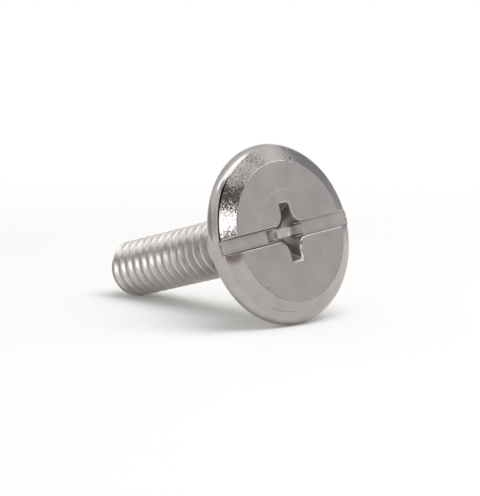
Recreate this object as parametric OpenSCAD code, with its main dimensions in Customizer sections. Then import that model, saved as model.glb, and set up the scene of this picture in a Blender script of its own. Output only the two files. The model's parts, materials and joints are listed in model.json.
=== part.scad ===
// Hurricane shutter bolt (sidewalk bolt): a wide, thin, flat head with a bevelled rim, driven by a
// straight slot or a cross recess, on a fully threaded shank. One solid piece, lying as it rests.

/* [Head] */
// Diameter of the head at its widest
head_d = 19.05; // [16:0.05:26]
// Thickness of the head, from the drive face to the bearing face
head_h = 2.5; // [2.1:0.1:4]
// Width of the bevel around the flat drive face
bevel_w = 1.6; // [0.8:0.05:2.4]
// Depth of the bevel's outer edge behind the drive face
bevel_h = 0.86; // [0.4:0.02:1.2]
// Width of the rounded rim outside the bevel
rim_w = 0.55; // [0.3:0.05:0.9]
// Rounding of the rim where it turns to the bearing face
rim_back_r = 0.6; // [0.3:0.05:0.7]

/* [Slot] */
// Width of the slot
slot_w = 1.45; // [0.8:0.05:2]
// Depth of the slot
slot_h = 1; // [0.6:0.05:1.4]
// Turn of the slot from level as the bolt lies
slot_turn = 5.5; // [-90:0.5:90]

/* [Cross recess] */
// Width across two opposite wings at the drive face
cross_d = 6.2; // [5:0.1:7]
// Width across two opposite wings at their foot
cross_foot_d = 3.8; // [2.4:0.1:4.4]
// Depth of the recess at its centre
cross_h = 3; // [2:0.1:3.6]
// Slope of the recess floor, in degrees from level
cross_floor_slope = 20; // [5:1:30]
// Width of a wing at the drive face
wing_w = 1.4; // [0.9:0.05:1.8]
// Draft of a wing's sides, in degrees
wing_draft = 4; // [0:0.5:8]
// Rounding of the corners between the wings at the drive face
corner_r = 1.5; // [0.5:0.05:1.8]
// Draft of those corners, in degrees
corner_draft = 11; // [4:0.5:14]

/* [Shank] */
// Diameter over the thread's crests
thread_d = 6.3; // [5:0.05:8]
// Distance from one thread to the next
thread_pitch = 1.27; // [0.8:0.01:1.6]
// Length of the shank under the head
shank_l = 25.4; // [12:0.1:60]
// Plain neck between the head and the thread
neck_l = 0.8; // [0.4:0.1:4]
// Length of the bevelled point
point_h = 1.2; // [0.5:0.05:1.4]

/* [Hidden] */
$fn = 96;

// Small overlap that lets a cut break cleanly through a face
cut = 0.05;

// Head profile, as radii and as depths behind the drive face
head_r = head_d / 2;
bevel_r = head_r - rim_w;
face_r = bevel_r - bevel_w;
rim_depth = head_h - rim_back_r;
rim_front_r = (pow(rim_w, 2) + pow(rim_depth - bevel_h, 2)) / (2 * rim_w);
rim_front_angle = -atan2(rim_depth - bevel_h, rim_front_r - rim_w);
rim_step = 9;

// Depth at which the cross recess's sloped wing ends meet its floor, and place of its rounded corners
cross_foot_depth = cross_h - cross_foot_d / 2 * tan(cross_floor_slope);
corner_place = wing_w / 2 + corner_r;

// Sixty degree thread form, whose crest and root flats are shares of the pitch
flank_angle = 30;
crest_w = thread_pitch / 8;
root_w = thread_pitch / 4;
thread_depth = (thread_pitch - crest_w - root_w) / 2 / tan(flank_angle);
thread_r = thread_d / 2;

// Shank, as depths behind the drive face
bolt_l = head_h + shank_l;
point_depth = bolt_l - point_h;
point_r = thread_r - point_h;

// Depth of the last full crest underneath. It lies so far before the point that the next crest, which the
// point cuts short, touches the floor too.
before_point = 0.565 * thread_pitch;
rest_depth = point_depth - before_point;

// Thread groove, as steps along a right-hand helix. A quarter turn from its start it lies underneath.
turn_steps = 24;
fade_steps = 8;
helix_start = rest_depth - crest_w / 2 - thread_pitch / 2 - thread_pitch / 4;
first_depth = head_h + neck_l + (thread_pitch - crest_w) / 2;
first_step = ceil((first_depth - helix_start) / thread_pitch * turn_steps);
last_step = ceil((bolt_l + thread_pitch - helix_start) / thread_pitch * turn_steps);

// Resting place: the rim and the last full crest touch the floor, and the drive face leans back
drop_across = head_r - rim_back_r - thread_r;
drop_along = rest_depth - rim_depth;
lean = atan2(drop_across, drop_along) + asin(rim_back_r / norm([drop_across, drop_along]));
face_height = (head_r - rim_back_r) * cos(lean) + rim_depth * sin(lean) + rim_back_r;
front_y = min(-face_r * sin(lean), bevel_h * cos(lean) - bevel_r * sin(lean));
back_y = max(bolt_l * cos(lean) + point_r * sin(lean), point_depth * cos(lean) + thread_r * sin(lean));

// Points of an arc of the rim after its start, about a centre level with the head's widest line
function rim_arc(radius, from, to) =
    let (steps = ceil((to - from) / rim_step))
    [for (i = [1 : steps])
        let (angle = from + (to - from) * i / steps)
        [head_r - radius + radius * cos(angle), rim_depth + radius * sin(angle)]];

// One section of the groove: the root flat, opening by the flanks to just outside the crests.
// Over its first steps the groove sinks in from the neck's surface.
function groove_section(step) =
    let (
        turn = 360 * step / turn_steps,
        middle = helix_start + thread_pitch * step / turn_steps,
        outer = thread_r + cut,
        sunk = min(1, (step - first_step) / fade_steps),
        inner = outer - cut / 2 - (thread_depth + cut / 2) * sunk,
        half_in = root_w / 2,
        half_out = half_in + (outer - inner) * tan(flank_angle)
    )
    [for (corner = [[inner, -half_in], [outer, -half_out], [outer, half_out], [inner, half_in]])
        [corner[0] * cos(turn), corner[0] * sin(turn), middle + corner[1]]];

// Turns a profile about the axis. Profiles are drawn in the upright plane, on the side above the axis.
module turned() {
    rotate(-90) rotate_extrude() children();
}

module head() {
    turned() polygon(concat(
        [[0, 0], [face_r, 0], [bevel_r, bevel_h]],
        rim_arc(rim_front_r, rim_front_angle, 0),
        rim_arc(rim_back_r, 0, lean),
        rim_arc(rim_back_r, lean, 90),
        [[0, head_h]]
    ));
}

module shank_blank() {
    turned() polygon([
        [0, head_h / 2],
        [thread_r, head_h / 2],
        [thread_r, point_depth],
        [point_r, bolt_l],
        [0, bolt_l]
    ]);
}

module thread_groove() {
    sections = [for (step = [first_step : last_step]) groove_section(step)];
    corners = len(sections[0]);
    last = len(sections) - 1;
    sides = [for (i = [0 : last - 1], j = [0 : corners - 1])
        let (a = i * corners + j, b = i * corners + (j + 1) % corners)
        each [[a, b, b + corners], [a, b + corners, a + corners]]];
    start_cap = [for (j = [corners - 1 : -1 : 0]) j];
    end_cap = [for (j = [0 : corners - 1]) last * corners + j];
    polyhedron([for (section = sections) each section], concat(sides, [start_cap, end_cap]));
}

module threaded_shank() {
    difference() {
        shank_blank();
        thread_groove();
    }
}

module slot() {
    translate([-head_r - cut, -slot_w / 2, -cut])
        cube([head_d + 2 * cut, slot_w, slot_h + cut]);
}

// Two opposite wings: their outline from the side, within their drafted section
module wing_pair() {
    spread = cut * (cross_d - cross_foot_d) / 2 / cross_foot_depth;
    narrow = cross_h * tan(wing_draft);
    intersection() {
        rotate([90, 0, 0]) linear_extrude(2 * wing_w, center = true) polygon([
            [-cross_d / 2 - spread, -cut],
            [cross_d / 2 + spread, -cut],
            [cross_foot_d / 2, cross_foot_depth],
            [0, cross_h],
            [-cross_foot_d / 2, cross_foot_depth]
        ]);
        rotate([90, 0, 90]) linear_extrude(2 * cross_d, center = true) polygon([
            [-wing_w / 2, -cut],
            [wing_w / 2, -cut],
            [wing_w / 2 - narrow, cross_h],
            [narrow - wing_w / 2, cross_h]
        ]);
    }
}

// Middle of the recess: a block whose corners are rounded by drafted posts
module recess_core() {
    difference() {
        translate([-corner_place, -corner_place, -cut])
            cube([2 * corner_place, 2 * corner_place, cross_foot_depth + cut]);
        for (x = [-corner_place, corner_place], y = [-corner_place, corner_place])
            translate([x, y, -cut]) cylinder(
                h = cross_h,
                r1 = corner_r - cut * tan(corner_draft),
                r2 = corner_r + (cross_h - cut) * tan(corner_draft)
            );
    }
}

module cross_recess() {
    wing_pair();
    rotate(90) wing_pair();
    recess_core();
}

// Stands the bolt's axis along +Y, with the drive face in front, as it comes to rest on the floor
module at_rest() {
    translate([0, -(front_y + back_y) / 2, face_height])
        rotate([-90 - lean, 0, 0])
            children();
}

module bolt() {
    color("silver") at_rest() difference() {
        union() {
            head();
            threaded_shank();
        }
        rotate(-slot_turn) {
            slot();
            cross_recess();
        }
    }
}

bolt();
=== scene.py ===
"""Hurricane shutter bolt: the dressed part, its studio and the camera at the photograph's angle.

Sizes are in millimetres, in the bolt's own frame: the drive face lies in the plane z = 0, the axis is z and
the threaded end is towards +z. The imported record's drive mount says where that frame lies at rest.
"""

import json
import logging
import math
from collections.abc import Callable, Sequence
from dataclasses import dataclass, field, replace
from enum import Enum, IntEnum

import bmesh
import bpy
from mathutils import Euler, Matrix, Vector


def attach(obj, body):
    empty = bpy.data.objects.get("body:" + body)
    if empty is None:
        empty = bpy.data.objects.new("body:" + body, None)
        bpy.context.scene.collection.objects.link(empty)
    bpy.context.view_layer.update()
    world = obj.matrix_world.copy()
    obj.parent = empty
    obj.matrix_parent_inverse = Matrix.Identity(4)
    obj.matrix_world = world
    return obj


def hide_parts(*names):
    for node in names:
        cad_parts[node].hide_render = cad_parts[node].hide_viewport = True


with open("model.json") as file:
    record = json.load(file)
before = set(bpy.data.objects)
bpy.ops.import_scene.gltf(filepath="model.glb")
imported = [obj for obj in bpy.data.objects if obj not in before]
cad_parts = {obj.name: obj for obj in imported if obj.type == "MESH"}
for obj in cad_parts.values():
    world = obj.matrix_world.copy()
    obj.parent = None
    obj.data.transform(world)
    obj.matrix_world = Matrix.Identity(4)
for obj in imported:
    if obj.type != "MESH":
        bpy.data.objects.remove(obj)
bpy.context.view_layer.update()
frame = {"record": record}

log = logging.getLogger("hurricane_bolt")

MM = 0.001

Point2 = tuple[float, float]
Point3 = tuple[float, float, float]
Materials = Sequence[bpy.types.Material]

# Noise seldom leaves these ranges, which are spread over the fine marks and over the duller patches
GRAIN_LOW, GRAIN_HIGH = 0.3, 0.7
PATCH_LOW, PATCH_HIGH = 0.35, 0.7


class Zone(IntEnum):
    """Surfaces of the bolt that were made in different ways, in the order of its material slots."""

    FACE = 0
    BEVEL = 1
    RIM = 2
    BEARING = 3
    THREAD = 4
    SLOT = 5
    SLOT_LIP = 6
    RECESS = 7
    SCRATCH = 8
    EDGE = 9


class Lay(Enum):
    """Kinds of fine marks that making leaves on a surface."""

    GRAIN = "grain"
    FACETS = "facets"
    RINGS = "rings"
    ALONG_SLOT = "along_slot"


def linear(hex_colour: str) -> tuple[float, float, float, float]:
    """Turns an sRGB hex colour into the linear colour that a shader takes.

    Args:
        hex_colour: Six hex digits after a hash.

    Returns:
        Red, green, blue and an alpha of one.
    """
    parts = [int(hex_colour[i:i + 2], 16) / 255 for i in (1, 3, 5)]
    flat = [c / 12.92 if c <= 0.04045 else ((c + 0.055) / 1.055) ** 2.4 for c in parts]
    return flat[0], flat[1], flat[2], 1.0


def add_node(tree: bpy.types.NodeTree, kind: str, inputs: dict | None = None, **settings) -> bpy.types.Node:
    """Adds a node to a tree, with its settings and its inputs.

    Args:
        tree: The node tree.
        kind: The node's type name.
        inputs: What each input takes, by name or number: a value, or another node's output to link.
        settings: The node's own properties.

    Returns:
        The new node.
    """
    node = tree.nodes.new(kind)
    for name, value in settings.items():
        setattr(node, name, value)
    for key, value in (inputs or {}).items():
        if isinstance(value, bpy.types.NodeSocket):
            tree.links.new(value, node.inputs[key])
        else:
            node.inputs[key].default_value = value
    return node


def blank_material(name: str) -> bpy.types.Material:
    """Makes a material whose node tree is empty.

    Args:
        name: The material's name.

    Returns:
        The new material.
    """
    material = bpy.data.materials.new(name)
    material.use_nodes = True
    material.node_tree.nodes.clear()
    return material


@dataclass(frozen=True)
class Placement:
    """Where the bolt's own frame lies at rest, in metres.

    Attributes:
        origin: The middle of the drive face.
        turn: The turn from the bolt's frame to the row's.
    """

    origin: Vector
    turn: Matrix

    @classmethod
    def from_record(cls, record: dict) -> "Placement":
        """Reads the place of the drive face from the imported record.

        Args:
            record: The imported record.

        Returns:
            The bolt's place at rest.
        """
        mount = next(m for m in record["mounts"] if m["name"] == "drive")
        along = -Vector(mount["axis"]).normalized()
        across = Vector((1, 0, 0))
        return cls(Vector(mount["pos_m"]), Matrix((across, along.cross(across), along)).transposed())

    def matrix(self) -> Matrix:
        """Matrix from millimetres in the bolt's frame to metres in the row's."""
        return Matrix.Translation(self.origin) @ self.turn.to_4x4() @ Matrix.Scale(MM, 4)

    def euler(self) -> Euler:
        """Turn from the bolt's frame to the row's, as a Mapping node takes it."""
        return self.turn.to_euler()


@dataclass(frozen=True)
class PaintedShade:
    """A place where shade is painted into the metal as a darker colour.

    Attributes:
        centre: Its middle in the bolt's frame, in millimetres.
        radius: The radius within which it is full, in millimetres.
        edge: The width over which it fades, in millimetres.
        colour: Its colour, as sRGB hex.
    """

    centre: Point3
    radius: float
    edge: float
    colour: str


@dataclass(frozen=True)
class SteelFinish:
    """A finish of the stainless steel, by how that surface was made.

    Attributes:
        name: The material's name.
        colour: Its colour, as sRGB hex.
        dirty: Its colour where film or oxide dulls it, as sRGB hex.
        roughness: How far it blurs reflections, from 0 to 1.
        roughness_spread: How much that varies over the surface.
        lay: The kind of its fine marks.
        grain: The width of those marks, in millimetres.
        relief: The depth of those marks, in millimetres.
        patch: The width of its duller patches, in millimetres.
        painted_shade: A place where shade is painted darker into it, if it has one.
    """

    name: str
    colour: str
    dirty: str
    roughness: float
    roughness_spread: float
    lay: Lay
    grain: float
    relief: float
    patch: float
    painted_shade: PaintedShade | None = None

    def material(self, place: Placement, slot_turn: float) -> bpy.types.Material:
        """Makes the material.

        Args:
            place: The bolt's place, which centres its patterns on the axis.
            slot_turn: Turn of the slot about the axis, in degrees.

        Returns:
            The material.
        """
        material = blank_material(self.name)
        tree = material.node_tree
        where = add_node(tree, "ShaderNodeTexCoord")
        local = add_node(
            tree, "ShaderNodeMapping",
            {"Vector": where.outputs["Object"], "Location": place.origin, "Rotation": place.euler()},
            vector_type="TEXTURE")
        marks = self._marks(tree, local.outputs["Vector"], slot_turn)
        fine = add_node(tree, "ShaderNodeTexNoise",
                        {"Vector": marks, "Scale": 1 / (self.grain * MM), "Detail": 3.0, "Roughness": 0.6})
        colour = self._colour(tree, local.outputs["Vector"])
        spread = add_node(tree, "ShaderNodeMapRange",
                          {"Value": fine.outputs["Fac"], "From Min": GRAIN_LOW, "From Max": GRAIN_HIGH,
                           "To Min": self.roughness - self.roughness_spread,
                           "To Max": self.roughness + self.roughness_spread})
        if self.lay is Lay.FACETS:
            normal = self._facets(tree, local.outputs["Vector"])
        else:
            normal = add_node(tree, "ShaderNodeBump",
                              {"Height": fine.outputs["Fac"], "Distance": self.relief * MM}).outputs["Normal"]
        shader = add_node(tree, "ShaderNodeBsdfPrincipled",
                          {"Base Color": colour, "Metallic": 1.0,
                           "Roughness": spread.outputs["Result"], "Normal": normal})
        add_node(tree, "ShaderNodeOutputMaterial", {"Surface": shader.outputs["BSDF"]})
        return material

    def _colour(self, tree: bpy.types.NodeTree, local: bpy.types.NodeSocket) -> bpy.types.NodeSocket:
        """Mixes the clean metal with its duller patches and its painted shade.

        Args:
            tree: The material's node tree.
            local: Coordinates in the bolt's frame, in metres.

        Returns:
            The colour.
        """
        patches = add_node(tree, "ShaderNodeTexNoise",
                           {"Vector": local, "Scale": 1 / (self.patch * MM), "Detail": 4.0})
        dull = add_node(tree, "ShaderNodeMapRange",
                        {"Value": patches.outputs["Fac"], "From Min": PATCH_LOW, "From Max": PATCH_HIGH})
        metal = add_node(tree, "ShaderNodeMix",
                         {"Factor": dull.outputs["Result"],
                          "A": linear(self.colour), "B": linear(self.dirty)},
                         data_type="RGBA")
        if self.painted_shade is None:
            return metal.outputs["Result"]
        # Painted shade: a darker colour, full near a point and fading out, that stands in for shade
        away = add_node(tree, "ShaderNodeVectorMath", {0: local, 1: Vector(self.painted_shade.centre) * MM},
                        operation="DISTANCE")
        border = (self.painted_shade.radius + self.painted_shade.edge) * MM
        inside = add_node(tree, "ShaderNodeMapRange",
                          {"Value": away.outputs["Value"], "From Min": border,
                           "From Max": self.painted_shade.radius * MM},
                          interpolation_type="SMOOTHSTEP")
        shaded = add_node(tree, "ShaderNodeMix",
                           {"Factor": inside.outputs["Result"], "A": metal.outputs["Result"],
                            "B": linear(self.painted_shade.colour)},
                           data_type="RGBA")
        return shaded.outputs["Result"]

    def _facets(self, tree: bpy.types.NodeTree, local: bpy.types.NodeSocket) -> bpy.types.NodeSocket:
        """Tilts each small cell of the surface its own way.

        Args:
            tree: The material's node tree.
            local: Coordinates in the bolt's frame, in metres.

        Returns:
            The tilted normal.
        """
        slope = 2 * self.relief / self.grain
        cells = add_node(tree, "ShaderNodeTexVoronoi", {"Vector": local, "Scale": 1 / (self.grain * MM)})
        tilt = add_node(tree, "ShaderNodeVectorMath",
                        {0: cells.outputs["Color"], 1: (slope,) * 3, 2: (-slope / 2,) * 3},
                        operation="MULTIPLY_ADD")
        smooth = add_node(tree, "ShaderNodeNewGeometry")
        tilted = add_node(tree, "ShaderNodeVectorMath",
                          {0: smooth.outputs["Normal"], 1: tilt.outputs["Vector"]}, operation="ADD")
        unit = add_node(tree, "ShaderNodeVectorMath", {0: tilted.outputs["Vector"]}, operation="NORMALIZE")
        return unit.outputs["Vector"]

    def _marks(self, tree: bpy.types.NodeTree, local: bpy.types.NodeSocket,
               slot_turn: float) -> bpy.types.NodeSocket:
        """Stretches the pattern's coordinates along the marks.

        Args:
            tree: The material's node tree.
            local: Coordinates in the bolt's frame, in metres.
            slot_turn: Turn of the slot about the axis, in degrees.

        Returns:
            The coordinates that the fine pattern takes.
        """
        if self.lay is Lay.ALONG_SLOT:
            stretch = (0.04, 1.0, 1.0)
            turn = (0.0, 0.0, math.radians(slot_turn))
            along = add_node(tree, "ShaderNodeMapping", {"Vector": local, "Rotation": turn, "Scale": stretch})
            return along.outputs["Vector"]
        if self.lay is Lay.RINGS:
            flat = add_node(tree, "ShaderNodeSeparateXYZ", {"Vector": local})
            aside = add_node(tree, "ShaderNodeCombineXYZ",
                             {"X": flat.outputs["X"], "Y": flat.outputs["Y"]})
            radius = add_node(tree, "ShaderNodeVectorMath", {0: aside.outputs["Vector"]}, operation="LENGTH")
            angle = add_node(tree, "ShaderNodeMath",
                             {0: flat.outputs["Y"], 1: flat.outputs["X"]}, operation="ARCTAN2")
            along_ring = MM / 2
            slow = add_node(tree, "ShaderNodeMath", {0: angle.outputs["Value"], 1: along_ring},
                            operation="MULTIPLY")
            rings = add_node(tree, "ShaderNodeCombineXYZ",
                             {"X": radius.outputs["Value"], "Y": slow.outputs["Value"],
                              "Z": flat.outputs["Z"]})
            return rings.outputs["Vector"]
        return local


def link_mesh(name: str, shape: bmesh.types.BMesh, materials: Materials) -> bpy.types.Object:
    """Turns a finished bmesh into an object with outward faces.

    Args:
        name: The object's name.
        shape: The bmesh, which is freed.
        materials: The bolt's materials, in the order of the zones.

    Returns:
        The new object, in the scene.
    """
    bmesh.ops.recalc_face_normals(shape, faces=shape.faces)
    mesh = bpy.data.meshes.new(name)
    shape.to_mesh(mesh)
    shape.free()
    for material in materials:
        mesh.materials.append(material)
    obj = bpy.data.objects.new(name, mesh)
    bpy.context.scene.collection.objects.link(obj)
    return obj


def loft(sections: Sequence[Sequence[Point3]], zone: Callable[[int, int], Zone]) -> bmesh.types.BMesh:
    """Skins closed sections of equal length and caps both ends.

    Args:
        sections: The sections' points, in order.
        zone: The zone of the face after a given section and a given point of it.

    Returns:
        A closed shape.
    """
    shape = bmesh.new()
    rows = [[shape.verts.new(point) for point in section] for section in sections]
    count = len(rows[0])
    for i, (row, following) in enumerate(zip(rows, rows[1:])):
        for j in range(count):
            k = (j + 1) % count
            face = shape.faces.new((row[j], row[k], following[k], following[j]))
            face.material_index = zone(i, j)
    shape.faces.new(rows[0]).material_index = zone(0, 0)
    shape.faces.new(rows[-1]).material_index = zone(len(rows) - 2, 0)
    return shape


def revolve(outline: Sequence[Point2], zones: Sequence[Zone], columns: int) -> bmesh.types.BMesh:
    """Turns an outline about the axis and caps both ends.

    Args:
        outline: Radius and depth of each point, from the front to the back.
        zones: The zone of the surface after each point.
        columns: Faces around.

    Returns:
        A closed shape.
    """
    turns = [math.tau * (i + 0.5) / columns for i in range(columns)]
    sections = [[(r * math.cos(a), r * math.sin(a), depth) for a in turns] for r, depth in outline]
    return loft(sections, lambda i, j: zones[i])


def arc(centre: Point2, radius: float, start: float, end: float, steps: int) -> list[Point2]:
    """Points along an arc, both ends included.

    Args:
        centre: Its centre, as radius and depth.
        radius: Its radius.
        start: The angle that it starts at, in radians.
        end: The angle that it ends at, in radians.
        steps: How many chords it has.

    Returns:
        The points.
    """
    angles = [start + (end - start) * i / steps for i in range(steps + 1)]
    return [(centre[0] + radius * math.cos(a), centre[1] + radius * math.sin(a)) for a in angles]


def fillet(before: Point2, corner: Point2, after: Point2, radius: float, steps: int) -> list[Point2]:
    """Rounds a corner of an outline.

    Args:
        before: The point before the corner.
        corner: The corner.
        after: The point after it.
        radius: The rounding's radius.
        steps: How many chords the rounding has.

    Returns:
        Points that take the corner's place.
    """
    here = Vector(corner)
    back = (Vector(before) - here).normalized()
    on = (Vector(after) - here).normalized()
    half = back.angle(on) / 2
    centre = here + (back + on).normalized() * radius / math.sin(half)
    first = here + back * radius / math.tan(half) - centre
    last = here + on * radius / math.tan(half) - centre
    start = math.atan2(first.y, first.x)
    sweep = (math.atan2(last.y, last.x) - start + math.pi) % math.tau - math.pi
    return arc((centre.x, centre.y), radius, start, start + sweep, steps)


def settle(obj: bpy.types.Object) -> None:
    """Makes an object's modified mesh its own and drops its modifiers.

    Args:
        obj: The object.
    """
    graph = bpy.context.evaluated_depsgraph_get()
    mesh = bpy.data.meshes.new_from_object(
        obj.evaluated_get(graph), preserve_all_data_layers=True, depsgraph=graph)
    plain = obj.data
    obj.modifiers.clear()
    obj.data = mesh
    bpy.data.meshes.remove(plain)


def combine(target: bpy.types.Object, tool: bpy.types.Object, operation: str) -> None:
    """Joins a tool to a shape or cuts it away, and removes the tool.

    Args:
        target: The shape that changes.
        tool: The shape that is used up.
        operation: The Boolean modifier's operation.
    """
    step = target.modifiers.new(operation, "BOOLEAN")
    step.operation = operation
    step.solver = "EXACT"
    step.object = tool
    settle(target)
    bpy.data.objects.remove(tool)


@dataclass
class Head:
    """The wide flat head, turned about the axis, with its lips rounded as pressing leaves them."""

    diameter: float = 19.05
    height: float = 2.5
    bevel_width: float = 1.6
    bevel_height: float = 0.86
    rim_width: float = 0.55
    rim_back_radius: float = 0.6
    face_edge_radius: float = 0.3
    bevel_edge_radius: float = 0.2
    ring_radius: float = 4.3
    ring_width: float = 0.3
    ring_rise: float = 0.013
    ring_border: float = 0.05
    neck_radius: float = 3.15
    neck_fillet: float = 0.25
    columns: int = 216
    lip_steps: int = 4
    rim_steps: int = 14
    rim_back_steps: int = 10
    neck_steps: int = 5

    @property
    def radius(self) -> float:
        """Radius of the head at its widest."""
        return self.diameter / 2

    @property
    def bevel_radius(self) -> float:
        """Radius of the bevel's outer edge."""
        return self.radius - self.rim_width

    @property
    def face_radius(self) -> float:
        """Radius of the flat drive face."""
        return self.bevel_radius - self.bevel_width

    def front(self) -> list[tuple[Point2, Zone]]:
        """Outline of what is seen from the front, from the middle to the widest line.

        Returns:
            Each point with the zone of the surface after it.
        """
        face_edge = (self.face_radius, 0.0)
        bevel_edge = (self.bevel_radius, self.bevel_height)
        rim_depth = self.height - self.rim_back_radius
        drop = rim_depth - self.bevel_height
        radius = (self.rim_width ** 2 + drop ** 2) / (2 * self.rim_width)
        start = -math.atan2(drop, radius - self.rim_width)
        # The rounded edge of the bevel takes the place of the rim's first two chords
        rim = arc((self.radius - radius, rim_depth), radius, start, 0.0, self.rim_steps)[2:]
        ring = [(self.ring_radius + self.ring_width * math.cos(a) / 2, -self.ring_rise * math.sin(a))
                for a in (math.pi, math.pi * 0.75, math.pi / 2, math.pi / 4, 0.0)]
        border = self.ring_width / 2 + self.ring_border
        face = [(self.ring_radius - border, 0.0), *ring, (self.ring_radius + border, 0.0)]
        bevel = fillet(ring[-1], face_edge, bevel_edge, self.face_edge_radius, self.lip_steps)
        edge = fillet(face_edge, bevel_edge, rim[0], self.bevel_edge_radius, self.lip_steps)
        surfaces = ((face, Zone.FACE), (bevel, Zone.BEVEL), (edge, Zone.EDGE), (rim, Zone.RIM))
        return [(point, zone) for points, zone in surfaces for point in points]

    def depth_at(self, radius: float) -> float:
        """Depth of the front surface behind the drive face.

        Args:
            radius: Distance from the axis.

        Returns:
            The depth there.
        """
        outline = [point for point, _ in self.front()]
        for (r0, d0), (r1, d1) in zip(outline, outline[1:]):
            if r0 <= radius <= r1:
                return max(0.0, d0 + (d1 - d0) * (radius - r0) / (r1 - r0))
        return 0.0 if radius < outline[0][0] else outline[-1][1]

    def radius_at(self, depth: float) -> float:
        """Radius of the front surface at a depth.

        Args:
            depth: Depth behind the drive face.

        Returns:
            The distance from the axis there.
        """
        outline = [point for point, _ in self.front()]
        for (r0, d0), (r1, d1) in zip(outline, outline[1:]):
            if d0 <= depth <= d1 and d1 > d0:
                return r0 + (r1 - r0) * (depth - d0) / (d1 - d0)
        return self.radius

    def shape(self) -> bmesh.types.BMesh:
        """Makes the head's solid.

        Returns:
            A closed shape.
        """
        outline = self.front()
        back = (self.radius - self.rim_back_radius, self.height - self.rim_back_radius)
        rim = arc(back, self.rim_back_radius, 0.0, math.pi / 2, self.rim_back_steps)
        outline += [(point, Zone.RIM) for point in rim[1:-1]]
        outline.append(((back[0], self.height), Zone.BEARING))
        corner = (self.neck_radius + self.neck_fillet, self.height + self.neck_fillet)
        # The fillet ends just short of the shank's side, and the head closes inside the shank
        fillet_end = -math.pi * 0.97
        inside = self.neck_radius * 0.9
        neck = arc(corner, self.neck_fillet, -math.pi / 2, fillet_end, self.neck_steps)
        outline += [(point, Zone.THREAD) for point in neck]
        outline.append(((inside, neck[-1][1]), Zone.THREAD))
        return revolve([point for point, _ in outline], [zone for _, zone in outline], self.columns)


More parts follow.
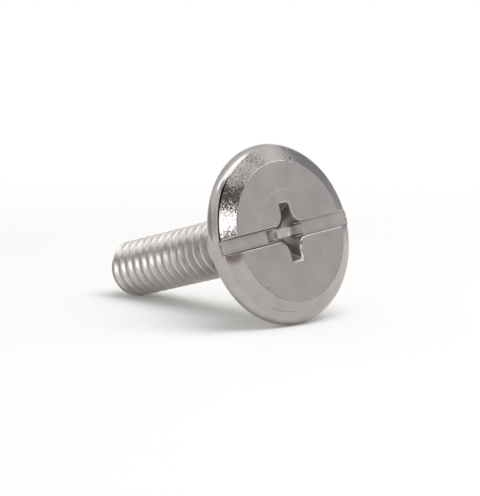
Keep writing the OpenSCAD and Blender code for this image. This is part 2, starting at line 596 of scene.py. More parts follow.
@dataclass
class ThreadedShank:
    """The rolled thread, wound as one ribbon along a helix by geometry nodes, down to the bevelled point."""

    diameter: float = 6.3
    pitch: float = 1.27
    length: float = 25.4
    head_height: float = 2.5
    neck_length: float = 0.8
    point_height: float = 1.2
    fade_turns: float = 1 / 3
    before_point: float = 0.565
    flank_angle: float = 30.0
    rounding: float = 0.12
    weld: float = 0.002
    columns: int = 72
    rows: int = 22

    @property
    def crest_flat(self) -> float:
        """Width of the flat along a crest."""
        return self.pitch / 8

    @property
    def root_flat(self) -> float:
        """Width of the flat along a root."""
        return self.pitch / 4

    @property
    def flank_width(self) -> float:
        """Width of a flank, seen from the side."""
        return (self.pitch - self.crest_flat - self.root_flat) / 2

    @property
    def end(self) -> float:
        """Depth of the shank's end behind the drive face."""
        return self.head_height + self.length

    def tree(self) -> bpy.types.NodeTree:
        """Builds the geometry nodes that wind the thread.

        Returns:
            The node tree, whose inputs are the thread's sizes in millimetres.
        """
        tree = bpy.data.node_groups.new("rolled_thread", "GeometryNodeTree")
        face = tree.interface
        face.new_socket("Geometry", in_out="OUTPUT", socket_type="NodeSocketGeometry")
        for name in ("Crest Radius", "Pitch", "Root Flat", "Flank Width", "Thread Depth", "Start",
                     "Plain Turns", "Fade Turns", "Rounding"):
            face.new_socket(name, in_out="INPUT", socket_type="NodeSocketFloat")
        for name in ("Turns", "Columns", "Rows"):
            face.new_socket(name, in_out="INPUT", socket_type="NodeSocketInt")
        face.new_socket("Material", in_out="INPUT", socket_type="NodeSocketMaterial")
        sizes = add_node(tree, "NodeGroupInput").outputs
        position = add_node(tree, "GeometryNodeInputPosition").outputs["Position"]
        spot = add_node(tree, "ShaderNodeSeparateXYZ", {"Vector": position}).outputs
        values = {socket.name: socket for socket in (*sizes, *spot)}
        sums = (
            # Points of the flat ribbon, around and across
            ("faces around", "MULTIPLY", "Turns", "Columns"),
            ("points around", "ADD", "faces around", 1.0),
            ("points across", "ADD", "Rows", 1.0),
            # Place of a point: turns from the start, and its share of the way up the flank
            ("share", "ADD", "X", 0.5),
            ("turn", "MULTIPLY", "share", "Turns"),
            ("aside", "ABSOLUTE", "Y"),
            ("from middle", "MULTIPLY", "aside", "Pitch"),
            ("half root", "MULTIPLY", "Root Flat", 0.5),
            ("from root", "SUBTRACT", "from middle", "half root"),
            ("ramp", "DIVIDE", "from root", "Flank Width"),
            ("above root", "SMOOTH_MAX", "ramp", 0.0, "Rounding"),
            ("rise", "SMOOTH_MIN", "above root", 1.0, "Rounding"),
            # The groove sinks in from the plain neck
            ("past plain", "SUBTRACT", "turn", "Plain Turns"),
            ("fade", "DIVIDE", "past plain", "Fade Turns"),
            ("begun", "MAXIMUM", "fade", 0.0),
            ("sunk", "MINIMUM", "begun", 1.0),
            ("below crest", "SUBTRACT", 1.0, "rise"),
            ("groove", "MULTIPLY", "below crest", "sunk"),
            ("depth", "MULTIPLY", "groove", "Thread Depth"),
            ("radius", "SUBTRACT", "Crest Radius", "depth"),
            # The helix
            ("angle", "MULTIPLY", "turn", math.tau),
            ("cosine", "COSINE", "angle"),
            ("sine", "SINE", "angle"),
            ("right", "MULTIPLY", "radius", "cosine"),
            ("down", "MULTIPLY", "radius", "sine"),
            ("across", "ADD", "Y", 0.5),
            ("pitches", "ADD", "turn", "across"),
            ("run", "MULTIPLY", "pitches", "Pitch"),
            ("along", "ADD", "Start", "run"),
            # Middle of the cap that closes each end
            ("length", "MULTIPLY", "Turns", "Pitch"),
            ("half length", "MULTIPLY", "length", 0.5),
            ("middle", "ADD", "Start", "half length"),
            ("far", "GREATER_THAN", "Z", "middle"),
            ("near end", "ADD", "Start", "Pitch"),
            ("to far end", "MULTIPLY", "far", "length"),
            ("end", "ADD", "near end", "to far end"),
        )
        for name, operation, *operands in sums:
            inputs = {place: values.get(operand, operand) for place, operand in enumerate(operands)}
            values[name] = add_node(tree, "ShaderNodeMath", inputs, operation=operation).outputs[0]
        grid = add_node(tree, "GeometryNodeMeshGrid",
                        {"Vertices X": values["points around"], "Vertices Y": values["points across"]})
        helix = add_node(tree, "ShaderNodeCombineXYZ",
                         {"X": values["right"], "Y": values["down"], "Z": values["along"]})
        ribbon = add_node(tree, "GeometryNodeSetPosition",
                          {"Geometry": grid.outputs["Mesh"], "Position": helix.outputs["Vector"]})
        wound = add_node(tree, "GeometryNodeMergeByDistance",
                         {"Geometry": ribbon.outputs["Geometry"], "Distance": self.weld})
        edge = add_node(tree, "GeometryNodeInputMeshEdgeNeighbors")
        open_edge = add_node(tree, "FunctionNodeCompare", {2: edge.outputs["Face Count"], 3: 1},
                             data_type="INT", operation="EQUAL")
        drawn = add_node(tree, "GeometryNodeExtrudeMesh",
                         {"Mesh": wound.outputs["Geometry"], "Selection": open_edge.outputs["Result"],
                          "Offset Scale": 0.0}, mode="EDGES")
        tips = add_node(tree, "ShaderNodeCombineXYZ", {"Z": values["end"]})
        capped = add_node(tree, "GeometryNodeSetPosition",
                          {"Geometry": drawn.outputs["Mesh"], "Selection": drawn.outputs["Top"],
                           "Position": tips.outputs["Vector"]})
        closed = add_node(tree, "GeometryNodeMergeByDistance",
                          {"Geometry": capped.outputs["Geometry"], "Distance": self.weld})
        real = add_node(tree, "GeometryNodeRealizeInstances", {"Geometry": closed.outputs["Geometry"]})
        dressed = add_node(tree, "GeometryNodeSetMaterial",
                           {"Geometry": real.outputs["Geometry"], "Material": sizes["Material"]})
        add_node(tree, "NodeGroupOutput", {"Geometry": dressed.outputs["Geometry"]})
        return tree

    def build(self, materials: Materials) -> bpy.types.Object:
        """Winds the thread and cuts its point.

        Args:
            materials: The bolt's materials.

        Returns:
            The shank, which starts inside the head.
        """
        radius = self.diameter / 2
        point_depth = self.end - self.point_height
        last_groove = point_depth - self.crest_flat / 2 - self.pitch * (self.before_point + 3 / 4)
        hidden = math.floor(last_groove / self.pitch) - 0.5
        start = last_groove - hidden * self.pitch - self.pitch
        first_groove = self.head_height + self.neck_length + (self.pitch - self.crest_flat) / 2
        shank = link_mesh("shank", bmesh.new(), materials)
        winding = shank.modifiers.new("rolled_thread", "NODES")
        winding.node_group = self.tree()
        sizes = {
            "Crest Radius": radius, "Pitch": self.pitch, "Root Flat": self.root_flat,
            "Flank Width": self.flank_width,
            "Thread Depth": self.flank_width / math.tan(math.radians(self.flank_angle)),
            "Start": start, "Plain Turns": (first_groove - start) / self.pitch - 0.5,
            "Fade Turns": self.fade_turns, "Rounding": self.rounding,
            "Turns": math.ceil((self.end - start) / self.pitch) + 1,
            "Columns": self.columns, "Rows": self.rows,
            "Material": materials[Zone.THREAD]}
        for item in winding.node_group.interface.items_tree:
            if item.in_out == "INPUT":
                winding[item.identifier] = sizes[item.name]
        settle(shank)
        self._dress(shank, materials)
        combine(shank, link_mesh("blank", self._blank(), materials), "INTERSECT")
        return shank

    def _dress(self, shank: bpy.types.Object, materials: Materials) -> None:
        """Gives the wound thread the bolt's slots and outward faces.

        Args:
            shank: The wound thread.
            materials: The bolt's materials.
        """
        shank.data.materials.clear()
        for material in materials:
            shank.data.materials.append(material)
        shape = bmesh.new()
        shape.from_mesh(shank.data)
        bmesh.ops.recalc_face_normals(shape, faces=shape.faces)
        for face in shape.faces:
            face.material_index = Zone.THREAD
        shape.to_mesh(shank.data)
        shape.free()

    def _blank(self) -> bmesh.types.BMesh:
        """Makes the bevelled bar that the thread is trimmed to.

        Returns:
            The bar.
        """
        outer = self.diameter / 2 + self.pitch / 4
        front = self.head_height / 4
        edge = (self.diameter / 2 - self.point_height, self.end)
        shoulder = (outer, self.end - self.point_height - self.pitch / 4)
        tip_radius, tip_steps = self.pitch / 6, 4
        tip = fillet(shoulder, edge, (0.0, self.end), tip_radius, tip_steps)
        outline = [(outer, front), shoulder, *tip]
        return revolve(outline, [Zone.THREAD] * len(outline), self.columns)


@dataclass
class Drive:
    """The slot and the cross recess, as the shapes that the cutter and the punch leave."""

    head: Head
    slot_width: float = 1.45
    slot_height: float = 1.0
    slot_turn: float = 5.5
    slot_lip: float = 0.2
    burr: float = 0.1
    cross_width: float = 6.2
    cross_foot_width: float = 3.8
    cross_height: float = 3.0
    cross_floor_slope: float = 20.0
    wing_width: float = 1.4
    wing_draft: float = 4.0
    wing_corner: float = 0.12
    corner_radius: float = 1.5
    corner_draft: float = 11.0
    corner_blend: float = 0.35
    blend_depth: float = 1.0
    foot_radius: float = 0.7
    floor_radius: float = 1.5
    cross_lip: float = 0.2
    lip_angles: tuple[float, ...] = (0.0, 20.0, 40.0, 60.0, 75.0)
    overshoot: float = 0.3
    floor_steps: int = 12
    foot_steps: int = 6
    corner_steps: int = 8

    @property
    def foot_depth(self) -> float:
        """Depth at which the wings' ends meet the recess floor."""
        return self.cross_height - self.cross_foot_width / 2 * math.tan(math.radians(self.cross_floor_slope))

    def lip(self, radius: float) -> list[Point2]:
        """Rounded lip of a cut, from its wall to just above the surface.

        Args:
            radius: The lip's radius.

        Returns:
            How far each point stands out from the wall, and its depth.
        """
        turns = [math.radians(angle) for angle in self.lip_angles]
        points = [(radius * (1 - math.cos(a)), radius * (1 - math.sin(a))) for a in turns]
        out, depth = points[-1]
        reach = (self.overshoot * math.sin(turns[-1]), self.overshoot * math.cos(turns[-1]))
        return [*points, (out + reach[0], depth - reach[1])]

    def slot(self) -> bmesh.types.BMesh:
        """Makes the slot's shape, whose lips follow the face, the bevel and the rim.

        Returns:
            The shape to cut away.
        """
        half = self.slot_width / 2
        lowest = self.slot_height - self.slot_lip / 2
        outer_face = self.head.face_radius - 1.0
        on_rim = self.head.bevel_radius + self.head.rim_width * 0.3
        wall_share = 1.5
        stations = [0.0]
        for (radius, depth), _ in self.head.front():
            if radius > outer_face and depth < lowest:
                stations.append(math.sqrt(radius ** 2 - half ** 2))
        stations += [on_rim, self.head.radius + self.overshoot]
        both_ways = [-x for x in reversed(stations[1:])] + stations
        top = -self.overshoot
        sections = []
        for x in both_ways:
            depth = min(self.head.depth_at(math.hypot(x, half)), lowest)
            lip = self.lip(min(self.slot_lip, (self.slot_height - depth) / wall_share))
            side = [(half, self.slot_height)] + [(half + out, depth + down) for out, down in lip]
            side.append((side[-1][0], top))
            section = [(-y, z) for y, z in reversed(side)] + side
            sections.append([(x, y, z) for y, z in section])
        around = [Zone.RIM] * 3 + [Zone.SLOT_LIP] * (len(self.lip_angles) - 1)
        zones = [*around, Zone.SLOT, *reversed(around)]
        return self._turned(loft(sections, lambda i, j: zones[j % len(zones)]))

    def burrs(self) -> list[bmesh.types.BMesh]:
        """Makes the uneven burrs that are left where the slot runs out on the rim.

        Returns:
            The shapes to add, one at each end of the slot.
        """
        reach = self.head.radius_at(self.slot_height)
        spread = math.asin((self.slot_width / 2 + self.slot_lip / 2) / reach)
        steps, sides = 24, 12
        taper, unevenness, waves = 0.6, 0.2, 9
        burrs = []
        # The left one takes the slot lip's painted shade on its inner side, and the right one the rim's
        # finish
        for facing, inside in ((math.pi, Zone.SLOT_LIP), (0.0, Zone.RIM)):
            sections = []
            for step in range(steps + 1):
                share = 2 * step / steps - 1
                angle = facing + spread * share
                uneven = 1 + unevenness * math.sin(waves * share)
                radius = self.burr * (1 - taper * share ** 4) * uneven
                bead = arc((reach, self.slot_height), radius, 0.0, math.tau * (1 - 1 / sides), sides - 1)
                sections.append([(r * math.cos(angle), r * math.sin(angle), depth) for r, depth in bead])
            shape = loft(sections, lambda i, j: Zone.RIM if j >= sides - 2 else inside)
            burrs.append(self._turned(shape))
        return burrs

    def wing(self) -> list[Point2]:
        """Side view of a wing: its sloped end, its rounded foot and its floor, rounded in the middle.

        Returns:
            Half length and depth of each point, from the drive face to just before the middle.
        """
        start = (self.cross_width / 2, 0.0)
        foot = (self.cross_foot_width / 2, self.foot_depth)
        middle = (0.0, self.cross_height)
        rounded_foot = fillet(start, foot, middle, self.foot_radius, self.foot_steps)
        floor = fillet(foot, middle, (-foot[0], foot[1]), self.floor_radius, self.floor_steps)
        return [start, *rounded_foot, *floor[:self.floor_steps // 2]]

    def cross(self) -> bmesh.types.BMesh:
        """Makes the cross recess's drafted shape, down to where its wings' feet begin to round.

        Returns:
            The shape to cut away.
        """
        lip = self.lip(self.cross_lip)
        levels = [(depth, out) for out, depth in reversed(lip)]
        steps = 10
        reach = self.wing()[1][1] - self.cross_lip
        levels += [(self.cross_lip + reach * i / steps, 0.0) for i in range(1, steps + 1)]
        sections = [[(x, y, depth) for x, y in self._outline(depth, grow)] for depth, grow in levels]
        return self._turned(loft(sections, lambda i, j: Zone.BEVEL if i < len(lip) - 1 else Zone.RECESS))

    def floors(self) -> list[bmesh.types.BMesh]:
        """Makes the two crossing hollows of the recess floor.

        Returns:
            The shapes to cut away.
        """
        wing = self.wing()[1:]
        inside = 0.8
        sections = [self._hollow(wing[0][0] * inside, wing[0][1] * inside, inside)]
        sections += [self._hollow(reach, depth, 1.0) for reach, depth in wing]
        hollows = []
        for turn in (0.0, math.pi / 2):
            shape = loft(sections, lambda i, j: Zone.RECESS)
            bmesh.ops.rotate(shape, verts=shape.verts, matrix=Matrix.Rotation(turn, 3, "Z"))
            hollows.append(self._turned(shape))
        return hollows

    def _hollow(self, reach: float, depth: float, share: float) -> list[Point3]:
        """Outline of two opposite wings at one depth.

        Args:
            reach: Half their length.
            depth: Depth behind the drive face.
            share: Share of their width that is cut.

        Returns:
            The points around.
        """
        half = share * (self.wing_width / 2 - depth * math.tan(math.radians(self.wing_draft)))
        corner = min(self.wing_corner, reach / 2)
        end = [(reach, half - corner), (reach - corner, half)]
        side = [*end, *[(-x, y) for x, y in reversed(end)]]
        return [(x, y, depth) for x, y in side] + [(x, -y, depth) for x, y in reversed(side)]

    def _outline(self, depth: float, grow: float) -> list[Point2]:
        """Outline of the cross at one depth.

        Args:
            depth: Depth behind the drive face.
            grow: How far the outline stands out from the walls there.

        Returns:
            The points around the cross.
        """
        below = max(depth, 0.0)
        half = self.wing_width / 2 - below * math.tan(math.radians(self.wing_draft)) + grow
        narrowing = (self.cross_width - self.cross_foot_width) / 2 / self.foot_depth
        end = self.cross_width / 2 - below * narrowing + grow
        place = self.wing_width / 2 + self.corner_radius
        blend = self.corner_blend * max(below - self.blend_depth, 0.0) ** 2
        radius = self.corner_radius + below * math.tan(math.radians(self.corner_draft)) + blend - grow
        cut_in = math.acos(min(1.0, (place - half) / radius))
        corner = arc((place, place), radius, -math.pi / 2 - cut_in, -math.pi + cut_in, self.corner_steps)
        quarter = [(end, half - self.wing_corner), (end - self.wing_corner, half), *corner,
                   (half, end - self.wing_corner), (half - self.wing_corner, end)]
        outline = []
        for turn in range(4):
            spin = Matrix.Rotation(turn * math.pi / 2, 2)
            outline += [tuple(spin @ Vector(point)) for point in quarter]
        return outline

    def _turned(self, shape: bmesh.types.BMesh) -> bmesh.types.BMesh:
        """Turns a shape to the slot's direction.

        Args:
            shape: The shape, with the slot along x.

        Returns:
            The same shape.
        """
        spin = Matrix.Rotation(-math.radians(self.slot_turn), 3, "Z")
        bmesh.ops.rotate(shape, verts=shape.verts, matrix=spin)
        return shape


@dataclass
class Scratch:
    """A fine groove that turning or handling left on the front of the head.

    Attributes:
        radius: Distance of its middle from the axis, in millimetres.
        angle: Where its middle lies about the axis, in degrees from the right, clockwise.
        sweep: How far it runs about the axis, in degrees.
        drift: How much further out its end lies than its start, in millimetres.
        width: Its width, in millimetres.
        depth: Its depth, in millimetres.
        end_share: How thick the bar that cuts it is at its ends, as a share of the middle.
        steps: Pieces along it.
        sides: Faces around the bar.
    """

    radius: float
    angle: float
    sweep: float
    drift: float
    width: float
    depth: float
    end_share: float = 0.85
    steps: int = 12
    sides: int = 16

    def shape(self, head: Head) -> bmesh.types.BMesh:
        """Makes the groove's shape, a thin round bar that dips into the surface.

        Args:
            head: The head that it is cut into.

        Returns:
            The shape to cut away.
        """
        bar = (self.width ** 2 / 4 + self.depth ** 2) / (2 * self.depth)
        sections = []
        for step in range(self.steps + 1):
            share = 2 * step / self.steps - 1
            turn = math.radians(self.angle + share * self.sweep / 2)
            spot = self.radius + share * self.drift / 2
            fall = head.depth_at(spot + self.width) - head.depth_at(spot - self.width)
            slope = math.atan2(fall, 2 * self.width)
            thin = bar * (1 - (1 - self.end_share) * share ** 2)
            last = math.tau * (1 - 1 / self.sides)
            section = []
            for along, above in arc((0.0, bar - self.depth), thin, 0.0, last, self.sides - 1):
                out = spot + along * math.cos(slope) + above * math.sin(slope)
                deep = head.depth_at(spot) + along * math.sin(slope) - above * math.cos(slope)
                section.append((out * math.cos(turn), out * math.sin(turn), deep))
            sections.append(section)
        return loft(sections, lambda i, j: Zone.SCRATCH)


@dataclass
class Bolt:
    """The whole bolt, one piece of stainless steel."""

    place: Placement
    head: Head = field(default_factory=Head)
    shank: ThreadedShank = field(default_factory=ThreadedShank)
    scratches: tuple[Scratch, ...] = (
        Scratch(7.06, 129.5, 4.4, 0.3, 0.13, 0.034),
        Scratch(8.44, 112.0, 11.0, 0.1, 0.07, 0.0175),
        Scratch(8.33, 100.0, 9.0, 0.06, 0.05, 0.0125),
    )
    sharp_angle: float = 34.0
    weld_distance: float = 0.001

    def finishes(self) -> dict[Zone, SteelFinish]:
        """The finish of each surface.

        Returns:
            A finish for each zone, in the zones' order.
        """
        # Rolled round by the die's edge: the smoothest surface, with faint rings
        rim = SteelFinish("rolled_stainless_rim", "#B8B3B1", "#ACA7A4", 0.16, 0.04,
                          Lay.RINGS, 0.12, 0.003, 2.0)
        return {
            # Pressed flat by the heading die: an even satin grey with faint specks
            Zone.FACE: SteelFinish("pressed_stainless_face", "#BEB9B8", "#AFAAA9", 0.36, 0.05,
                                   Lay.GRAIN, 0.25, 0.003, 3.0),
            # Tumbled after forming: bright, with a pitted grain that breaks up its reflections, and a patch
            # of brownish painted shade below the slot's left end. The grain is drawn coarser than it is, so
            # that it shows.
            Zone.BEVEL: SteelFinish("tumbled_stainless_bevel", "#B1ACAB", "#A6A19F", 0.14, 0.03,
                                    Lay.FACETS, 0.11, 0.0062, 2.0,
                                    PaintedShade((-8.1, 1.4, 0.4), 0.7, 0.85, "#796E6B")),
            Zone.RIM: rim,
            # Sheared wire flattened under the head: satin with turned rings
            Zone.BEARING: SteelFinish("turned_stainless_underside", "#D0CBC5", "#C1BBB3", 0.32, 0.06,
                                      Lay.RINGS, 0.1, 0.002, 2.5),
            # Thread rolled between dies: burnished, slightly warm
            Zone.THREAD: SteelFinish("rolled_stainless_thread", "#CBC7C4", "#BEB9B5", 0.3, 0.04,
                                     Lay.RINGS, 0.14, 0.0008, 1.5),
            # Milled slot: satin, with fine lines along the cutter's path
            Zone.SLOT: SteelFinish("milled_stainless_slot", "#C9C4C3", "#BDB8B6", 0.34, 0.05,
                                   Lay.ALONG_SLOT, 0.08, 0.0015, 2.0),
            # Lips and walls that the cutter tore, with painted shade that makes them dark over the left half,
            # lighter at the right
            Zone.SLOT_LIP: SteelFinish("torn_stainless_lip", "#A7A2A0", "#9A9593", 0.36, 0.06,
                                       Lay.GRAIN, 0.2, 0.004, 2.0,
                                       PaintedShade((-9.2, 0.9, 0.0), 7.5, 4.0, "#38332F")),
            # Punched recess: dull, with a film of oil that darkens it
            Zone.RECESS: SteelFinish("punched_stainless_recess", "#C2BEBA", "#B0ACA6", 0.38, 0.06,
                                     Lay.GRAIN, 0.2, 0.003, 1.0),
            # Scratches are painted dark in place of the shade and dark reflections in their walls, so they
            # read as fine dark lines
            Zone.SCRATCH: SteelFinish("stainless_scratch_painted_shade", "#8E8884", "#827C77", 0.4, 0.05,
                                      Lay.GRAIN, 0.1, 0.001, 1.0),
            # Narrow edge between bevel and rim: like the rim, with a dark line of painted shade above the
            # slot's left end
            Zone.EDGE: replace(rim, name="rolled_stainless_edge",
                               painted_shade=PaintedShade((-8.4, -3.0, 0.9), 3.3, 1.4, "#4A423F")),
        }

    def build(self) -> bpy.types.Object:
        """Makes the bolt, lays it in its place and says what it stands for.

        Returns:
            The finished piece.
        """
        drive = Drive(self.head)
        finishes = self.finishes()
        materials = [finishes[zone].material(self.place, drive.slot_turn) for zone in Zone]
        bolt = link_mesh("hurricane_bolt", self.head.shape(), materials)
        combine(bolt, self.shank.build(materials), "UNION")
        log.info("head and thread joined: %d faces", len(bolt.data.polygons))
        grooves = [scratch.shape(self.head) for scratch in self.scratches]
        for shape in (drive.slot(), drive.cross(), *drive.floors(), *grooves):
            combine(bolt, link_mesh("cutter", shape, materials), "DIFFERENCE")
        for shape in drive.burrs():
            combine(bolt, link_mesh("burr", shape, materials), "UNION")
        log.info("slot and recess cut: %d faces", len(bolt.data.polygons))
        self._finish(bolt)
        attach(bolt, "root")
        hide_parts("bolt")
        return bolt

    def _finish(self, bolt: bpy.types.Object) -> None:
        """Places the mesh, welds it and sets its normals.

        Args:
            bolt: The bolt, in its own frame.
        """
        shape = bmesh.new()
        shape.from_mesh(bolt.data)
        bmesh.ops.remove_doubles(shape, verts=shape.verts, dist=self.weld_distance)
        bmesh.ops.transform(shape, matrix=self.place.matrix(), verts=shape.verts)
        for face in shape.faces:
            face.smooth = True
        open_edges = sum(not edge.is_manifold for edge in shape.edges)
        shape.to_mesh(bolt.data)
        shape.free()
        log.info("open edges: %d", open_edges)
        bolt.data.set_sharp_from_angle(angle=math.radians(self.sharp_angle))
        normals = bolt.modifiers.new("normals", "WEIGHTED_NORMAL")
        normals.keep_sharp = True
        settle(bolt)


@dataclass
class Floor:
    """The plain pale floor, which keeps the bolt's shadow and shows in the metal."""

    width: float = 1200.0
    colour: str = "#F4F3F1"
    own_light: float = 0.1
    fade_start: float = 45.0
    fade_end: float = 130.0

    def build(self) -> bpy.types.Object:
        """Makes the floor.

        Returns:
            The floor.
        """
        shape = bmesh.new()
        bmesh.ops.create_grid(shape, x_segments=1, y_segments=1, size=self.width / 2 * MM)
        material = blank_material("pale_studio_paper")
        tree = material.node_tree
        matt = add_node(tree, "ShaderNodeBsdfDiffuse", {"Color": linear(self.colour)})
        white = add_node(tree, "ShaderNodeEmission", {"Color": linear("#FFFFFF")})
        place = add_node(tree, "ShaderNodeTexCoord")
        distance = add_node(tree, "ShaderNodeVectorMath", {0: place.outputs["Object"]}, operation="LENGTH")
        fade = add_node(tree, "ShaderNodeMapRange",
                        {"Value": distance.outputs["Value"], "From Min": self.fade_start * MM,
                         "From Max": self.fade_end * MM, "To Min": self.own_light, "To Max": 1.0},
                        interpolation_type="SMOOTHSTEP")
        share = add_node(tree, "ShaderNodeMath", {0: seen_rays(tree), 1: fade.outputs["Result"]},
                         operation="MULTIPLY")
        mix = add_node(tree, "ShaderNodeMixShader",
                       {0: share.outputs[0], 1: matt.outputs["BSDF"], 2: white.outputs["Emission"]})
        add_node(tree, "ShaderNodeOutputMaterial", {"Surface": mix.outputs["Shader"]})
        floor = link_mesh("floor", shape, [material])
        return floor


def seen_rays(tree: bpy.types.NodeTree) -> bpy.types.NodeSocket:
    """Adds nodes that tell the rays that see the background from those that only light it.

    Args:
        tree: A material's or the world's node tree.

    Returns:
        One for camera, glossy and transmission rays, and otherwise nought.
    """
    path = add_node(tree, "ShaderNodeLightPath").outputs
    shiny = add_node(tree, "ShaderNodeMath", {0: path["Is Glossy Ray"], 1: path["Is Transmission Ray"]},
                     operation="MAXIMUM")
    either = add_node(tree, "ShaderNodeMath", {0: path["Is Camera Ray"], 1: shiny.outputs[0]},
                      operation="MAXIMUM")
    return either.outputs[0]


def stand(obj: bpy.types.Object, azimuth: float, elevation: float, offset: Point3) -> None:
    """Stands a card, lamp or camera off from where it is and turns it to look back.

    Args:
        obj: The card, lamp or camera.
        azimuth: Its direction, in degrees from the front towards the right.
        elevation: Its height above the horizon, in degrees.
        offset: How far it goes to its own right, upwards and back, in millimetres.
    """
    obj.rotation_euler = (math.radians(90 - elevation), 0.0, math.radians(azimuth))
    obj.location += obj.rotation_euler.to_matrix() @ Vector(offset) * MM


@dataclass(frozen=True)
class Card:
    """A studio card or lit panel that only reflections show, like a window or a dark screen.

    Attributes:
        name: The card's name.
        azimuth: Its direction from the bolt, in degrees from the front towards the right.
        elevation: Its height above the horizon, in degrees.
        distance: Its distance from the bolt, in millimetres.
        width: Its width, in millimetres.
        height: Its height, in millimetres.
        colour: Its colour, as sRGB hex.
        strength: How bright that colour is.
    """

    name: str
    azimuth: float
    elevation: float
    distance: float
    width: float
    height: float
    colour: str
    strength: float = 1.0

    def build(self) -> bpy.types.Object:
        """Makes the card, facing the bolt.

        Returns:
            The card.
        """
        shape = bmesh.new()
        bmesh.ops.create_grid(shape, x_segments=1, y_segments=1, size=0.5)
        material = blank_material(f"{self.name}_surface")
        tree = material.node_tree
        glow = add_node(tree, "ShaderNodeEmission", {"Color": linear(self.colour), "Strength": self.strength})
        add_node(tree, "ShaderNodeOutputMaterial", {"Surface": glow.outputs["Emission"]})
        card = link_mesh(self.name, shape, [material])
        stand(card, self.azimuth, self.elevation, (0.0, 0.0, self.distance))
        card.scale = (self.width * MM, self.height * MM, 1.0)
        card.visible_camera = False
        card.visible_diffuse = False
        card.visible_shadow = False
        return card


@dataclass(frozen=True)
class Softbox:
    """A soft lamp, which lights the floor. The metal mirrors the cards and the surround instead.

    Attributes:
        name: The lamp's name.
        azimuth: Its direction from the bolt, in degrees from the front towards the right.
        elevation: Its height above the horizon, in degrees.
        distance: Its distance from the bolt, in millimetres.
        width: The side of its square panel, in millimetres.
        power: Its power, in watts.
    """

    name: str
    azimuth: float
    elevation: float
    distance: float
    width: float
    power: float

    def build(self) -> bpy.types.Object:
        """Makes the lamp.

        Returns:
            The lamp.
        """
        light = bpy.data.lights.new(self.name, "AREA")
        light.size = self.width * MM
        light.energy = self.power
        lamp = bpy.data.objects.new(self.name, light)
        stand(lamp, self.azimuth, self.elevation, (0.0, 0.0, self.distance))
        lamp.visible_camera = False
        lamp.visible_glossy = False
        bpy.context.scene.collection.objects.link(lamp)
        return lamp


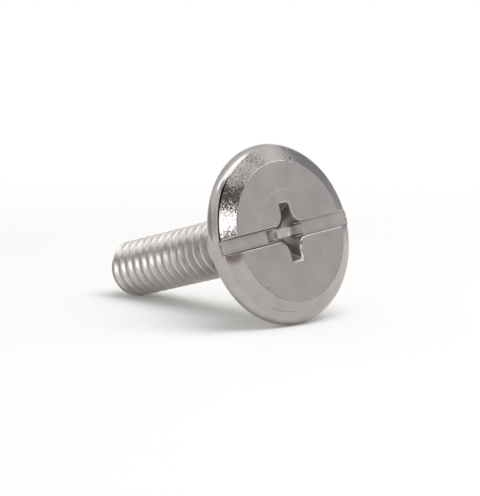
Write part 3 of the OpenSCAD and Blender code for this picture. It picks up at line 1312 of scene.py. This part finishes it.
@dataclass
class Studio:
    """The floor, the lamps, the cards and the white surround."""

    floor: Floor = field(default_factory=Floor)
    fill: float = 0.6
    softboxes: tuple[Softbox, ...] = (
        Softbox("top_softbox", 20.0, 70.0, 500.0, 400.0, 1.6),
    )
    cards: tuple[Card, ...] = (
        Card("face_card", 46.0, 12.0, 400.0, 373.0, 260.0, "#CBCAC9"),
        Card("edge_window", 47.0, 40.0, 400.0, 220.0, 64.0, "#FFFFFF", 2.8),
        Card("edge_flag", 12.0, 34.0, 410.0, 110.0, 110.0, "#2E2D2C"),
        Card("left_window", -9.0, 30.6, 400.0, 140.0, 62.0, "#FFFFFF", 3.6),
        Card("shank_window", -26.0, 26.5, 400.0, 79.0, 112.0, "#FFFFFF", 5.0),
        Card("side_flag", -30.0, 57.0, 405.0, 117.0, 100.0, "#1E1D1D"),
        Card("low_flag", -16.0, 17.0, 398.0, 84.0, 60.0, "#5A5856"),
        Card("notch_flag", -38.0, 17.0, 395.0, 84.0, 60.0, "#2A2828"),
        Card("rim_flag", -65.0, 66.0, 390.0, 140.0, 97.0, "#BFBEBD"),
        Card("rim_window", -118.0, 62.0, 400.0, 79.0, 100.0, "#FFFFFF", 2.6),
        Card("left_flag", -16.0, 46.0, 420.0, 306.0, 116.0, "#686664"),
        Card("overhead_window", -10.0, 83.0, 400.0, 280.0, 250.0, "#FFFFFF", 2.3),
        Card("barred_window", 15.0, 60.5, 430.0, 230.0, 84.0, "#FFFFFF", 1.6),
        Card("window_bar_low", 30.0, 57.5, 420.0, 330.0, 16.0, "#1E1D1D"),
        Card("window_bar_high", 30.0, 63.0, 420.0, 330.0, 16.0, "#1E1D1D"),
        Card("left_card", -76.0, 28.0, 400.0, 229.0, 200.0, "#DEDDDC"),
        Card("left_back_card", -130.0, 10.0, 420.0, 480.0, 280.0, "#BAB8B6"),
        Card("back_card", 165.0, 38.0, 430.0, 520.0, 280.0, "#E4E3E3"),
        Card("top_right_window", 72.0, 52.0, 400.0, 130.0, 110.0, "#FFFFFF", 1.2),
        Card("right_card", 97.0, 22.0, 400.0, 200.0, 275.0, "#AAABAE"),
        Card("right_low_card", 103.0, 6.0, 395.0, 220.0, 90.0, "#BBBBBD"),
    )

    def build(self) -> None:
        """Makes the studio."""
        self.floor.build()
        for lamp in self.softboxes:
            lamp.build()
        for card in self.cards:
            card.build()
        world = bpy.data.worlds.new("white_surround")
        world.use_nodes = True
        tree = world.node_tree
        tree.nodes.clear()
        dim = add_node(tree, "ShaderNodeBackground", {"Strength": self.fill, "Color": linear("#FFFFFF")})
        white = add_node(tree, "ShaderNodeBackground", {"Strength": 1.0, "Color": linear("#FFFFFF")})
        mix = add_node(tree, "ShaderNodeMixShader",
                       {0: seen_rays(tree), 1: dim.outputs["Background"], 2: white.outputs["Background"]})
        add_node(tree, "ShaderNodeOutputWorld", {"Surface": mix.outputs["Shader"]})
        bpy.context.scene.world = world
        bpy.context.scene.view_settings.view_transform = "Standard"


@dataclass
class PhotoCamera:
    """The camera at the photograph's angle, aimed beside the middle of the drive face."""

    place: Placement
    azimuth: float = -42.175
    elevation: float = 8.073
    distance: float = 210.0
    lens: float = 152.7
    sensor: float = 36.0
    aside: float = -5.284
    above: float = -1.737

    def build(self) -> bpy.types.Object:
        """Makes the camera and gives it to the scene.

        Returns:
            The camera.
        """
        data = bpy.data.cameras.new("photo_camera")
        data.sensor_fit = "HORIZONTAL"
        data.sensor_width = self.sensor
        data.lens = self.lens
        data.clip_start = MM
        camera = bpy.data.objects.new("photo_camera", data)
        camera.location = self.place.origin
        stand(camera, self.azimuth, self.elevation, (self.aside, self.above, self.distance))
        bpy.context.scene.collection.objects.link(camera)
        bpy.context.scene.camera = camera
        return camera


def main() -> None:
    """Builds the bolt, the studio and the camera."""
    logging.basicConfig(level=logging.INFO, format="%(name)s: %(message)s")
    place = Placement.from_record(frame["record"])
    bolt = Bolt(place).build()
    log.info("%s: %d faces", bolt.name, len(bolt.data.polygons))
    Studio().build()
    log.info("studio set")
    camera = PhotoCamera(place).build()
    log.info("%s set", camera.name)


if __name__ == "__main__":
    main()
